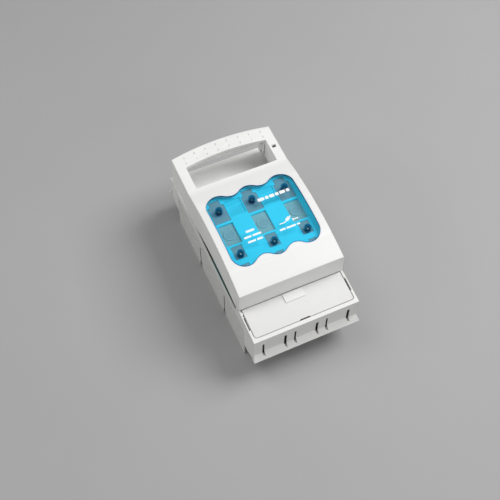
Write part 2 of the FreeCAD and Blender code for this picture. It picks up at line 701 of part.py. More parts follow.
def make_terminals():
    """Box clamps on the outgoing bars, each with its pressure screw."""
    length, shank = D["clamp_length"], D["screw_radius"]
    half_bar = D["bar_width"] / 2
    for number, pole_x in pole_names():
        clamp = Piece(f"terminal_clamp_{number}")
        low, high = D["terminal_y"] - length / 2, D["terminal_y"] + length / 2
        clamp.block((pole_x - half_bar - 2.4, low, size(35.2)), (pole_x + half_bar + 2.4, high, size(56)))
        window = rectangle((pole_x - half_bar - 0.2, size(37.4)), (pole_x + half_bar + 0.2, size(52.4)))
        clamp.pocket("XZ_Plane", window, low - 1, high + 1)
        clamp.pocket("XY_Plane", circle((pole_x, D["terminal_y"]), shank), 50, 58)
        screw = Piece(f"terminal_screw_{number}")
        screw.pad("XY_Plane", circle((pole_x, D["terminal_y"]), shank), jaw_top_z, 56.3)
        screw.pad("XY_Plane", circle((pole_x, D["terminal_y"]), D["screw_head"]), 56.2, 59.8)
        screw.pocket("XY_Plane", hexagon((pole_x, D["terminal_y"]), 2.3), 57.4, 60.5)


def hexagon(centre, radius):
    """The corners of a hexagon socket."""
    return [(centre[0] + radius * math.cos(math.radians(60 * k)),
             centre[1] + radius * math.sin(math.radians(60 * k))) for k in range(6)]


def make_arc_plates():
    """Steel arc-splitter plates beyond each upper jaw, joined by their side strip."""
    for number, pole_x in pole_names():
        stack = Piece(f"arc_splitter_{number}")
        stack.block((pole_x - 9, size(41.5), floor_top), (pole_x - 8, size(54), size(60)))
        for step in range(5):
            near = size(42 + 2.6 * step)
            stack.block((pole_x - 8.5, near, size(47.4)), (pole_x + 8, near + 1, size(60)))


# ---------------------------------------------------------------- busbar mounting

def make_hooks():
    """Hooks that hang the device on the upper edges of the busbars."""
    thick = D["hook_thickness"]
    for number, pole_x in pole_names():
        bar_y = D["busbar_pitch"] * (2 - number)
        edge = bar_y + D["busbar_width"] / 2 + 0.5
        toe_z = D["busbar_back_z"] - 0.4
        outline = [
            (edge, D["floor_z"] - thick), (edge, toe_z), (edge - 7, toe_z), (edge - 7, toe_z - thick),
            (edge + thick, toe_z - thick), (edge + thick, D["floor_z"]), (edge - 7, D["floor_z"]),
            (edge - 7, D["floor_z"] - thick),
        ]
        hook = Piece(f"busbar_hook_{number}")
        hook.pad("YZ_Plane", outline, pole_x - 7.5, pole_x + 7.5)


def make_lock():
    """Sliding lock with one toe for the lower edge of each busbar."""
    lock = Piece("busbar_lock")
    plate_low, plate_high = size(25.4), size(29.4)
    lock.block((size(12.1), size(-88), plate_low), (size(23.9), size(46), plate_high))
    for bar in (-1, 0, 1):
        edge = D["busbar_pitch"] * bar - D["busbar_width"] / 2 - 6.5
        toe_z = D["busbar_back_z"] - 0.4
        outline = [(edge - 3, toe_z - 2.4), (edge + 5.5, toe_z - 2.4), (edge + 5.5, toe_z),
                   (edge, toe_z), (edge, plate_low + 1), (edge - 3, plate_low + 1)]
        lock.pad("YZ_Plane", outline, 14, 22)
    lock.cut_block((size(16), size(-86), plate_low - 1), (size(20), size(-83), plate_high + 1))


# ---------------------------------------------------------------- lid

def front_curve(lower):
    """Points of the lid's front profile, from the low end to the handle, lowered by an amount."""
    lower = size(lower)
    return [
        (D["lid_low_y"] - 4, D["lid_low_z"] - 1.15 - lower),
        arc((size(0), D["lid_arc_z"] - lower), (D["lid_crease_y"], D["lid_crease_z"] - lower)),
        (size(112), D["lid_high_z"] + 0.4 - lower),
    ]


def lid_plan():
    """Plan of the lid at its front: square corners and a shallow arc at the handle end."""
    half = D["lid_top_width"] / 2
    return [(-half, D["lid_low_y"] + 0.3), (half, D["lid_low_y"] + 0.3), (half, D["lid_side_y"]),
            arc((size(0), D["lid_crown_y"]), (-half, D["lid_side_y"]))]


def opening_plan():
    """Plan of the finger opening: straight sides, its far edge follows the handle's arc."""
    half = D["opening_width"] / 2
    return [(-half, D["opening_low_y"]), (half, D["opening_low_y"]), (half, D["opening_side_y"]),
            arc((size(0), D["opening_crown_y"]), (-half, D["opening_side_y"]))]


def window_plan(grow):
    """Wavy outline of the window: three lobes above and below, rounded outer corners."""
    grow = size(grow)
    lobe, wave = D["window_lobe"], D["window_wave"]
    half, corner = D["window_half_x"], D["window_corner"]
    diagonal = corner * (1 - math.sqrt(0.5))
    path = []

    def side_of(end, way):
        """One wavy end, drawn from the window's right corner to its left corner."""
        levels = [end + grow * way, end + (grow - wave) * way]
        peak, mid = levels[0], (levels[0] + levels[1]) / 2
        entries = [arc((half + grow - diagonal, peak - diagonal * way), (lobe, peak))]
        for step in range(4):
            here, there = levels[step % 2], levels[(step + 1) % 2]
            x0, x1 = lobe * (1 - step * 0.5), lobe * (0.5 - step * 0.5)
            middle = (x0 + x1) / 2
            entries.append(arc(((x0 + middle) / 2, bulge(here, mid)), (middle, mid)))
            entries.append(arc(((middle + x1) / 2, bulge(there, mid)), (x1, there)))
        entries.append(arc((-half - grow + diagonal, peak - diagonal * way),
                           (-half - grow, peak - corner * way)))
        return entries

    def bulge(level, mid):
        """Where the arc of half a swing is, halfway along it."""
        return level + (mid - level) * WAVE_BULGE

    top, bottom = D["window_top_y"], D["window_bottom_y"]
    path.append((half + grow, top + grow - corner))
    path += side_of(top, 1)
    path.append((-half - grow, bottom - grow + corner))
    path += [mirror_entry(entry) for entry in side_of(bottom, -1)]
    return path


def mirror_entry(entry):
    """The same arc on the other side of the mid-plane."""
    _, via, end = entry
    return arc((-via[0], via[1]), (-end[0], end[1]))


def make_lid():
    lid = Piece("lid_shell")
    top_z = size(104)
    lid.hang(lid_plan(), top_z, top_z - D["lid_edge_z"] + 2, D["lid_draft"])
    sky = front_curve(0)
    lid.pocket("YZ_Plane", sky + [(size(112), top_z + 4), (D["lid_low_y"] - 4, top_z + 4)], -60, 60)
    lid.pocket("YZ_Plane", lid_foot(), -60, 60)
    hollow_lid(lid)
    open_handle(lid)
    lid.pocket("XY_Plane", window_plan(D["window_gap"]), 88, 110)
    for side in (-1, 1):
        low, high = x_span(side, inner_lid_x() - 1, half_width - 1.2)
        lid.pocket("YZ_Plane", circle((D["hinge_y"], D["hinge_z"]), D["pin_radius"]), low, high)
    lid.cut_block((size(44.7), size(72.2), size(90)), (size(49.0), size(75.6), size(98)))
    lid.dress("Fillet", D["edge_round"], outer_front_edge)
    mark_lid(lid)
    return lid


def mark_lid(lid):
    """Joint lines on the lid's flanks, and two rows of shallow dimples along the handle bar."""
    line_y = D["joint_line_y"]
    for side in (-1, 1):
        low, high = x_span(side, D["lid_top_width"] / 2 - 0.75, half_width)
        lid.cut_block((low, line_y - 0.25, D["hinge_z"] - 1), (high, line_y + 0.25, D["lid_arc_z"]))
    fall = (D["lid_crown_y"] - D["lid_side_y"]).value / (D["lid_top_width"].value / 2) ** 2
    for inset, floor_drop in ((5, 0.75), (12, 0.95)):
        dimples = []
        for step in range(-4, 4):
            x = D["dimple_pitch"] * (step + 0.5)
            y = D["lid_crown_y"] - inset - fall * x.value ** 2
            dimples.append(circle((x, y), D["dimple_radius"]))
        lid.pocket("XY_Plane", dimples, D["lid_high_z"] - floor_drop, 110)


def inner_lid_x():
    return D["lid_top_width"] / 2 - D["lid_wall"]


def lid_foot():
    """Everything below the lid's lower edge: it arches up over the side of the base."""
    edge = D["lid_edge_z"]
    return [
        (size(-75), size(50)), (size(115), size(50)), (size(115), edge), (size(38), edge),
        arc((size(-9), edge + D["lid_edge_rise"]), (D["lid_low_y"] + 7.6, edge)),
        (D["lid_low_y"] + 7.6, D["lid_front_edge_z"]),
        (size(-75), D["lid_front_edge_z"]),
    ]


def hollow_lid(lid):
    """Room for the fuse-links, and the hollow arms beside the handle opening."""
    inner_x_lid = inner_lid_x()
    near, far = D["lid_low_y"] + D["lid_wall"], D["opening_low_y"] - 2.2
    start = (near, D["lid_low_z"] - D["lid_skin"] + 0.1)
    under_skin = D["lid_crease_z"] - D["lid_skin"]
    crown = arc((size(0), D["lid_arc_z"] - D["lid_skin"]), (D["lid_crease_y"], under_skin))
    room = [start, crown, (far, under_skin), (far, size(40)), (near, size(40))]
    lid.pocket("YZ_Plane", room, -inner_x_lid, inner_x_lid)
    for side in (-1, 1):
        low, high = x_span(side, D["opening_width"] / 2 + D["arm_wall"], inner_x_lid)
        lid.cut_block((low, far - 1, size(50)), (high, D["lid_side_y"] - 2.4, under_skin))


def open_handle(lid):
    """The finger opening, the space below it and the hollow handle bar."""
    half = D["opening_width"] / 2
    lid.pocket("XY_Plane", opening_plan(), 50, 110)
    under_skin = D["lid_crease_z"] - D["lid_skin"]
    lid.cut_block((-half, D["opening_low_y"], size(50)), (half, D["bar_inner_y"], under_skin))
    bar_foot = D["lid_high_z"] - D["bar_depth"]
    outer = half + D["arm_wall"]
    lid.cut_block((-outer + 2, D["bar_inner_y"] - 1, size(50)), (outer - 2, size(112), bar_foot))
    bar_room = [(-outer, D["bar_inner_y"] + 2), (outer, D["bar_inner_y"] + 2), (outer, D["lid_side_y"] - 3),
                arc((size(0), D["lid_crown_y"] - 2.6), (-outer, D["lid_side_y"] - 3))]
    lid.pocket("XY_Plane", bar_room, 80, under_skin)
    lid.cut_block((-half, D["opening_low_y"] - 4, size(50)), (half, D["bar_inner_y"], D["arm_foot_z"]))
    for side in (-1, 1):
        low, high = x_span(side, half - 1, half + D["arm_wall"] + 0.2)
        lid.cut_block((low, D["opening_low_y"] - 4, size(50)), (high, D["lid_side_y"] - 2.4, D["arm_foot_z"]))
    lid.cut_block((half - 1, size(85.2), size(68)), (half + 3, size(87), size(85)))


def outer_front_edge(edge):
    """True for the edges that bound the lid's front face on the outside."""
    middle = edge.valueAt((edge.FirstParameter + edge.LastParameter) / 2)
    half = D["lid_top_width"].value / 2
    on_side = abs(abs(middle.x) - half) < 0.9 and middle.z > 88 and edge.Length > 30
    on_low = abs(middle.y - D["lid_low_y"].value) < 0.9 and middle.z > 88 and edge.Length > 50
    on_crown = middle.y > D["lid_crown_y"].value - 1 and middle.z > 94 and edge.Length > 50
    return on_side or on_low or on_crown


def make_window():
    """Transparent wavy window, a little proud of the lid, with six test holes in short sleeves."""
    window = Piece("window")
    window.pad("XY_Plane", window_plan(0), 80, 108)
    proud, sheet = D["window_proud"], D["window_sheet"]
    above = front_curve(-proud)
    window.pocket("YZ_Plane", above + [(size(112), size(112)), (D["lid_low_y"] - 4, size(112))], -60, 60)
    below = front_curve(sheet - proud)
    window.pocket("YZ_Plane", below + [(size(112), size(70)), (D["lid_low_y"] - 4, size(70))], -60, 60)
    sleeve_foot = D["lid_arc_z"] - 6
    places = [(pole_x, D["fuse_y"] + D["test_hole_y"] * way) for _, pole_x in pole_names() for way in (-1, 1)]
    rings = [circle(place, D["test_hole"] + 1.1) for place in places]
    window.pad("XY_Plane", rings, sleeve_foot, D["lid_arc_z"] - 2.2)
    holes = [circle(place, D["test_hole"]) for place in places]
    window.pocket("XY_Plane", holes, 80, 110)


def make_carrier():
    """Pale panel behind the window that holds the fuse-links in the lid."""
    carrier = Piece("fuse_carrier")
    half, low_end, high_end, top = inner_lid_x(), -43.5, 42.0, D["fuse_body_high"] + 2
    carrier.block((-half, size(low_end), top - 2), (half, size(high_end), top))
    for side in (-1, 1):
        low, high = x_span(side, half - 1.6, half)
        carrier.block((low, size(-34), size(76)), (high, size(high_end), top - 1))
    holes = []
    for _, pole_x in pole_names():
        for half_x, near, far in ((7.8, -14, 9.5), (5.5, -30.5, -16), (4, -39.5, -36.5)):
            holes.append(rectangle((pole_x - half_x, size(near)), (pole_x + half_x, size(far))))
        holes.append([(pole_x - 8, size(12)), (pole_x + 8, size(12)), (pole_x + 8, size(32)),
                      (pole_x + 5.5, size(32)), (pole_x + 5.5, size(38)), (pole_x - 5.5, size(38)),
                      (pole_x - 5.5, size(32)), (pole_x - 8, size(32))])
    carrier.pocket("XY_Plane", holes, 80, 110)
    recesses = [rectangle((D["pole_pitch"] * gap - 8, size(15)), (D["pole_pitch"] * gap + 8, size(33)))
                for gap in (-0.5, 0.5)]
    carrier.pocket("XY_Plane", recesses, top - 1.2, 110)
    for way, level in ((-1, cap_low_y - 2.6), (1, cap_high_y + 2.6)):
        near, far = sorted((level.value, level.value + 1.6 * way))
        carrier.block((-half, size(near), size(82)), (half, size(far), top - 1))
    keeps = [rectangle((pole_x - 4, size(81)), (pole_x + 4, top - 1.9)) for _, pole_x in pole_names()]
    carrier.pocket("XZ_Plane", keeps, -60, 60)


def make_shields():
    """Grey plates in the carrier's openings over the blades; each test hole has its probe hole."""
    top = D["fuse_body_high"] + 1.7
    for word, way in (("upper", 1), ("lower", -1)):
        members = []
        for number, pole_x in pole_names():
            plate = Piece(f"shield_{word}_{number}")
            pieces.remove(plate.body)
            if way > 0:
                outline = [(pole_x - 7.8, size(12.2)), (pole_x + 7.8, size(12.2)), (pole_x + 7.8, size(31.8)),
                           (pole_x + 5.3, size(31.8)), (pole_x + 5.3, size(37.8)),
                           (pole_x - 5.3, size(37.8)), (pole_x - 5.3, size(31.8)), (pole_x - 7.8, size(31.8))]
            else:
                outline = rectangle((pole_x - 5.3, size(-30.3)), (pole_x + 5.3, size(-16.2)))
            plate.pad("XY_Plane", outline, top - D["shield_sheet"], top)
            hole = circle((pole_x, D["fuse_y"] + D["test_hole_y"] * way), D["test_hole"])
            plate.pocket("XY_Plane", hole, top - 2, top + 1)
            members.append(plate.body)
        group_of(f"contact_shields_{word}", members)


def make_pins():
    """Hinge pins, fixed in the lid's side walls and turning in the brackets."""
    def build(piece, side):
        low, high = x_span(side, D["bracket_x"] - 1.6, half_width - 1.2)
        piece.pad("YZ_Plane", circle((D["hinge_y"], D["hinge_z"]), D["pin_radius"]), low, high)

    mirrored("hinge_pin", build)


# ---------------------------------------------------------------- fuse-links

def make_fuse_links():
    for number, pole_x in pole_names():
        half = D["fuse_body_width"] / 2
        low, high = D["fuse_body_low"], D["fuse_body_high"]
        barrel = Piece(f"fuse_body_{number}")
        barrel.block((pole_x - half, fuse_low_y, low), (pole_x + half, fuse_high_y, high))
        barrel.dress("Fillet", D["fuse_corner"], lambda e: abs(e.Vertexes[0].Y - e.Vertexes[-1].Y) > 20)
        group_of(f"fuse_caps_{number}", [make_cap(number, pole_x, way) for way in (-1, 1)])
        group_of(f"fuse_blades_{number}", [make_blade(number, pole_x, way) for way in (-1, 1)])
        indicator = Piece(f"fuse_indicator_{number}")
        indicator.pad("XY_Plane", circle((pole_x, D["fuse_y"]), 5.8), high, high + 0.7)
        indicator.pocket("XY_Plane", circle((pole_x, D["fuse_y"]), 4.4), high + 0.4, high + 2)


def make_cap(number, pole_x, way):
    """End plate of a fuse-link with its T-shaped gripping lug."""
    name = f"cap_{number}_{'upper' if way > 0 else 'lower'}"
    cap = Piece(name)
    pieces.remove(cap.body)
    near, far = (fuse_high_y, cap_high_y) if way > 0 else (cap_low_y, fuse_low_y)
    half, low, high = D["fuse_body_width"] / 2 - 1, D["fuse_body_low"] + 1.2, D["fuse_body_high"] - 1.2
    cap.block((pole_x - half, near, low), (pole_x + half, far, high))
    lug = D["lug_width"] / 2
    outer, inner = (far, far + D["lug_depth"]) if way > 0 else (near - D["lug_depth"], near)
    shift = -0.2 if way > 0 else 0.2
    low_y_lug, high_y_lug = (outer + shift, inner) if way > 0 else (outer, inner + shift)
    cap.block((pole_x - lug / 2, low_y_lug, high - 8), (pole_x + lug / 2, high_y_lug, high - 1))
    return cap.body


def make_blade(number, pole_x, way):
    """Knife contact of a fuse-link."""
    name = f"blade_{number}_{'upper' if way > 0 else 'lower'}"
    blade = Piece(name)
    pieces.remove(blade.body)
    near, far = (cap_high_y, blade_high_y) if way > 0 else (blade_low_y, cap_low_y)
    half = D["blade_thickness"] / 2
    blade.block((pole_x - half, near, D["blade_low_z"]), (pole_x + half, far, blade_high_z))
    tip = far.value if way > 0 else near.value
    blade.dress("Chamfer", D["blade_chamfer"],
                lambda e: abs(e.Vertexes[0].Y - tip) < 1e-3 and abs(e.Vertexes[-1].Y - tip) < 1e-3)
    return blade.body


def group_of(name, members):
    """Joins identical loose solids into one named sub-part."""
    group = doc.addObject("Part::Compound", name)
    group.Label = name
    group.Links = members
    pieces.append(group)


# ---------------------------------------------------------------- build, check and export

def check_document():
    """Stops on any object that failed, and on any sub-part with no valid solid."""
    for item in doc.Objects:
        if any(word in state for state in item.State for word in ("Invalid", "Error")):
            raise RuntimeError(f"{item.Name} failed: {item.State}")
    for item in pieces:
        shape = item.Shape
        if shape.isNull() or not shape.isValid() or not shape.Solids:
            raise RuntimeError(f"{item.Label} has no valid solid")


def main():
    make_base()
    make_skirts()
    make_barriers()
    make_guards()
    make_low_cover()
    make_high_cover()
    make_brackets()
    make_sealing_lug()
    make_housing_screws()
    make_load_contacts()
    make_line_contacts()
    make_jaw_springs()
    make_terminals()
    make_arc_plates()
    make_hooks()
    make_lock()
    make_lid()
    make_window()
    make_carrier()
    make_shields()
    make_pins()
    make_fuse_links()
    for item in pieces:
        item.setExpression("Placement.Base.y", D["frame_shift"].text)
    doc.recompute()
    check_document()
    os.makedirs("parts", exist_ok=True)
    for item in pieces:
        item.Shape.exportStep(f"parts/{item.Label}.step")
    print(f"{len(pieces)} sub-parts")
    for item in pieces:
        box = item.Shape.BoundBox
        print(f"{item.Label:24s} {len(item.Shape.Solids)} solid(s) volume {item.Shape.Volume:10.1f}"
              f"  x {box.XMin:7.2f} {box.XMax:7.2f}  y {box.YMin:7.2f} {box.YMax:7.2f}"
              f"  z {box.ZMin:6.2f} {box.ZMax:6.2f}")


main()
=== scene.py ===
"""Looks of a three-pole fuse switch disconnector, built around its CAD frame. Metres, row frame."""

import json
import math

import bmesh
import bpy
from mathutils import Matrix, Vector
from mathutils.bvhtree import BVHTree


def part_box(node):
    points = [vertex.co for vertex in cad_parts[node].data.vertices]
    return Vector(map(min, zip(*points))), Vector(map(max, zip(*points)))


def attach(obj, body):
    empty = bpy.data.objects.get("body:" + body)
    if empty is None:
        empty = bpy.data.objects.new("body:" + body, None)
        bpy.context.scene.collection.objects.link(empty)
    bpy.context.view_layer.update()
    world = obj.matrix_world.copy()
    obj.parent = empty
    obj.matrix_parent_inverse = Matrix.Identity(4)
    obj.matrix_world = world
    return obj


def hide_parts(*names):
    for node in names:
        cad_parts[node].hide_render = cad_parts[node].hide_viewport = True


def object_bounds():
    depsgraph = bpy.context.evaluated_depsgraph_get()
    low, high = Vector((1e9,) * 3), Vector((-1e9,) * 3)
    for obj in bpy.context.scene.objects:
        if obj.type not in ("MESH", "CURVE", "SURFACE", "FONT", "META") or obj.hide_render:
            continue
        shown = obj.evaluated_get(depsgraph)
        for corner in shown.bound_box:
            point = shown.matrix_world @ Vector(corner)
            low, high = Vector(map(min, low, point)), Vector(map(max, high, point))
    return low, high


MM = 0.001
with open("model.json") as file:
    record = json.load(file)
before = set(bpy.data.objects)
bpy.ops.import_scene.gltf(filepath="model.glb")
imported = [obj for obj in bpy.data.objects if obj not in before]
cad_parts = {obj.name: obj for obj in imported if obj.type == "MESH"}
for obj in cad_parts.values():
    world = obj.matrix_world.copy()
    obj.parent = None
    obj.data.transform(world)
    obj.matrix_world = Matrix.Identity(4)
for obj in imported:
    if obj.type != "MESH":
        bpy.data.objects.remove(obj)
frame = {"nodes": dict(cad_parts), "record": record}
cad_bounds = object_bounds()

# ---------------------------------------------------------------- node materials

GREY = (0.82, 0.82, 0.81)
CYAN = (0.10, 0.71, 0.84)
SHADE_SHARE = 0.05  # how much of a plastic's colour is left where shade is painted into it
CORNER_SHADE = 0.86  # and where shade is painted into a concave corner
CLEAR_MIRROR = (0.015, 0.75)  # share of light that clear plastic mirrors, head on and edge on


class Shade:
    """Builds a node material around one Principled shader."""

    def __init__(self, name):
        self.mat = bpy.data.materials.new(name)
        self.mat.use_nodes = True
        self.tree = self.mat.node_tree
        self.tree.nodes.clear()
        self.out = self.node("ShaderNodeOutputMaterial")
        self.shader = self.node("ShaderNodeBsdfPrincipled")
        self.link(self.shader.outputs[0], self.out.inputs[0])
        self.coords = self.node("ShaderNodeTexCoord").outputs["Object"]

    def node(self, kind, **values):
        made = self.tree.nodes.new(kind)
        for key, value in values.items():
            setattr(made, key, value)
        return made

    def link(self, output, socket):
        self.tree.links.new(output, socket)

    def noise(self, scale, detail=3.0, rough=0.55, stretch=(1, 1, 1)):
        """A noise value in object space; scale is in features per metre."""
        place = self.node("ShaderNodeMapping")
        place.inputs["Scale"].default_value = stretch
        self.link(self.coords, place.inputs["Vector"])
        noise = self.node("ShaderNodeTexNoise")
        noise.inputs["Scale"].default_value = scale
        noise.inputs["Detail"].default_value = detail
        noise.inputs["Roughness"].default_value = rough
        self.link(place.outputs[0], noise.inputs["Vector"])
        return noise.outputs["Fac"]

    def voronoi(self, scale):
        """Distance to the nearest cell point; scale is in cells per metre."""
        cells = self.node("ShaderNodeTexVoronoi")
        cells.inputs["Scale"].default_value = scale
        self.link(self.coords, cells.inputs["Vector"])
        return cells.outputs["Distance"]

    def ramp(self, value, stops):
        """Maps a value through (position, grey) stops."""
        ramp = self.node("ShaderNodeValToRGB")
        elements = ramp.color_ramp.elements
        while len(elements) > len(stops):
            elements.remove(elements[-1])
        while len(elements) < len(stops):
            elements.new(0.5)
        for element, (position, grey) in zip(elements, stops):
            element.position = position
            element.color = (grey, grey, grey, 1)
        self.link(value, ramp.inputs[0])
        return ramp.outputs[0]

    def mix(self, factor, a, b):
        """Mixes two colours by a factor socket."""
        mix = self.node("ShaderNodeMix", data_type="RGBA")
        self.link(factor, mix.inputs[0])
        for socket, colour in ((mix.inputs[6], a), (mix.inputs[7], b)):
            if isinstance(colour, bpy.types.NodeSocket):
                self.link(colour, socket)
            else:
                socket.default_value = (*colour, 1)
        return mix.outputs[2]

    def span(self, value, low, high):
        """Maps 0..1 to low..high."""
        remap = self.node("ShaderNodeMapRange")
        remap.inputs["To Min"].default_value = low
        remap.inputs["To Max"].default_value = high
        self.link(value, remap.inputs["Value"])
        return remap.outputs[0]

    def bump(self, height, distance, strength=1.0, below=None):
        """A normal raised by a height value over distance metres, on top of another normal."""
        bump = self.node("ShaderNodeBump")
        bump.inputs["Distance"].default_value = distance
        bump.inputs["Strength"].default_value = strength
        self.link(height, bump.inputs["Height"])
        if below is not None:
            self.link(below, bump.inputs["Normal"])
        return bump.outputs[0]

    def edge(self, low=0.505, high=0.56):
        """1 on convex edges, 0 elsewhere."""
        geometry = self.node("ShaderNodeNewGeometry")
        return self.ramp(geometry.outputs["Pointiness"], [(low, 0.0), (high, 1.0)])

    def hollow(self, low=0.42, high=0.495):
        """1 in concave corners, 0 elsewhere."""
        geometry = self.node("ShaderNodeNewGeometry")
        return self.ramp(geometry.outputs["Pointiness"], [(low, 1.0), (high, 0.0)])

    def axis_range(self, axis, low, high):
        """1 where the piece's own X, Y or Z lies between two levels, 0 elsewhere."""
        split = self.node("ShaderNodeSeparateXYZ")
        self.link(self.coords, split.inputs[0])
        above = self.node("ShaderNodeMath", operation="GREATER_THAN")
        below = self.node("ShaderNodeMath", operation="LESS_THAN")
        for test, level in ((above, low), (below, high)):
            self.link(split.outputs[axis], test.inputs[0])
            test.inputs[1].default_value = level
        return self.times(above.outputs[0], below.outputs[0])

    def times(self, a, b):
        """The product of two values."""
        product = self.node("ShaderNodeMath", operation="MULTIPLY")
        self.link(a, product.inputs[0])
        self.link(b, product.inputs[1])
        return product.outputs[0]

    def box(self, low, high):
        """1 inside a box, 0 outside."""
        mask = self.axis_range(0, low[0], high[0])
        for axis in (1, 2):
            mask = self.times(mask, self.axis_range(axis, low[axis], high[axis]))
        return mask


def lighter(colour, factor):
    """A colour scaled by a factor, kept within range."""
    return tuple(min(1.0, c * factor) for c in colour)


def moulded(name, colour, rough, shade_boxes=(), dark=SHADE_SHARE):
    """Moulded thermoplastic: faint mottling, a fine spark-eroded grain, convex edges lightened as a
    painted highlight, concave corners darkened as painted shade.

    Inside each box it is given, the plastic is darkened to the share dark of its colour as painted
    shade: deep in the base's chamber and tray, behind the skirt slits, in the bottom of a groove.
    """
    grain = 0.03 * MM
    s = Shade(name)
    mottle = s.ramp(s.noise(28.0, 4.0), [(0.3, 0.0), (0.7, 1.0)])
    base = s.mix(mottle, lighter(colour, 0.975), lighter(colour, 1.01))
    # painted highlight: convex edges are lightened as if they caught the light
    base = s.mix(s.edge(), base, lighter(colour, 1.05))
    # painted shade: concave corners are darkened
    base = s.mix(s.hollow(), base, lighter(colour, CORNER_SHADE))
    # painted shade: the plastic is darker inside the given boxes
    shade_colour = s.mix(mottle, lighter(colour, dark), lighter(colour, dark * 1.5)) if shade_boxes else None
    for box in shade_boxes:
        base = s.mix(s.box(*box), base, shade_colour)
    s.link(base, s.shader.inputs["Base Color"])
    wear = s.noise(9.0, 5.0)
    s.link(s.span(wear, rough - 0.06, rough + 0.07), s.shader.inputs["Roughness"])
    s.shader.inputs["Specular IOR Level"].default_value = 0.42
    fine = s.voronoi(2600.0)
    soft = s.noise(1500.0, 2.0)
    normal = s.bump(soft, grain * 1.6, 0.5)
    s.link(s.bump(fine, grain, 0.6, normal), s.shader.inputs["Normal"])
    return s.mat


def painted_glow(material, colour, strength):
    """Adds painted light: a faint emission of the plastic's own colour, so that it glows though it is
    no lamp.
    """
    shader = material.node_tree.nodes["Principled BSDF"]
    shader.inputs["Emission Color"].default_value = (*colour, 1)
    shader.inputs["Emission Strength"].default_value = strength
    return material


def metal(name, colour, rough, stretch=(1, 1, 1), tarnish=None):
    """Plated or bare metal: directional brushing, patchy tarnish and brighter rubbed edges."""
    s = Shade(name)
    patch = s.ramp(s.noise(60.0, 5.0, 0.6), [(0.42, 0.0), (0.72, 1.0)])
    base = s.mix(patch, colour, tarnish or lighter(colour, 0.72))
    base = s.mix(s.edge(0.51, 0.6), base, lighter(colour, 1.15))
    # painted shade: concave corners are darkened
    base = s.mix(s.hollow(), base, lighter(colour, 0.5))
    s.link(base, s.shader.inputs["Base Color"])
    brush = s.noise(900.0, 3.0, 0.6, stretch)
    s.link(s.span(brush, rough - 0.08, rough + 0.14), s.shader.inputs["Roughness"])
    s.link(s.bump(brush, 0.02 * MM, 0.5), s.shader.inputs["Normal"])
    s.shader.inputs["Metallic"].default_value = 1.0
    return s.mat


def ceramic(name, colour):
    """Steatite fuse body: pale, finely speckled, semi-gloss."""
    s = Shade(name)
    speck = s.ramp(s.noise(1400.0, 2.0, 0.7), [(0.56, 0.0), (0.66, 1.0)])
    cloud = s.ramp(s.noise(45.0, 4.0), [(0.35, 0.0), (0.7, 1.0)])
    base = s.mix(cloud, colour, lighter(colour, 0.93))
    base = s.mix(speck, base, lighter(colour, 0.72))
    s.link(base, s.shader.inputs["Base Color"])
    s.link(s.span(s.noise(120.0, 3.0), 0.24, 0.42), s.shader.inputs["Roughness"])
    s.link(s.bump(s.noise(260.0, 3.0), 0.06 * MM, 0.5), s.shader.inputs["Normal"])
    return s.mat


def tinted_glass(name, colour, cloud_colour):
    """Tinted clear plastic: light passes straight through, and the skin mirrors with faint swirls."""
    s = Shade(name)
    s.tree.nodes.remove(s.shader)
    clear = s.node("ShaderNodeBsdfTransparent")
    cloud = s.ramp(s.noise(14.0, 3.0), [(0.35, 0.0), (0.7, 1.0)])
    s.link(s.mix(cloud, colour, cloud_colour), clear.inputs["Color"])
    gloss = s.node("ShaderNodeBsdfGlossy")
    s.link(s.span(s.noise(40.0, 4.0), 0.05, 0.11), gloss.inputs["Roughness"])
    s.link(s.bump(s.noise(22.0, 3.0), 0.2 * MM, 0.35), gloss.inputs["Normal"])
    mixer = s.node("ShaderNodeMixShader")
    slant = s.node("ShaderNodeLayerWeight")
    steep = s.node("ShaderNodeMath", operation="POWER")
    steep.inputs[1].default_value = 5.0
    s.link(slant.outputs["Facing"], steep.inputs[0])
    s.link(s.span(steep.outputs[0], *CLEAR_MIRROR), mixer.inputs[0])
    s.link(clear.outputs[0], mixer.inputs[1])
    s.link(gloss.outputs[0], mixer.inputs[2])
    s.link(mixer.outputs[0], s.out.inputs[0])
    return s.mat


# Painted shade in the base and the skirts: boxes, from their lowest to their highest corner, inside
# which the plastic is darkened where shade falls
ALL = 1.0  # past everything
CAVITY_FOOT_Z, TRAY_TOP_Z, CHAMBER_TOP_Z = 30.5 * MM, 56.0 * MM, 60.5 * MM
base_low, base_high = [Vector(c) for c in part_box("base_housing")]
skirt_low, skirt_high = [Vector(c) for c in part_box("side_skirt_right")]
chamber_x, tray_x = base_high.x - 2.85 * MM, base_high.x - 3.95 * MM
groove_x = skirt_high.x - 0.25 * MM
wall_x = skirt_low.x + 0.05 * MM
WALL_SKIN = 0.45 * MM
CHAMBER = ((-chamber_x, -61.0 * MM, CAVITY_FOOT_Z), (chamber_x, 53.0 * MM, CHAMBER_TOP_Z))
TRAY = ((-tray_x, base_low.y + 6.0 * MM, CAVITY_FOOT_Z),
        (tray_x, base_high.y - 6.0 * MM, TRAY_TOP_Z))
GROOVES = ((-groove_x, -ALL, -ALL), (groove_x, ALL, ALL))
BEHIND_SLITS = [((low_x, skirt_low.y + 2 * MM, -ALL),
                 (low_x + WALL_SKIN, skirt_high.y - 2 * MM, skirt_high.z - 1 * MM))
                for low_x in (-wall_x, wall_x - WALL_SKIN)]

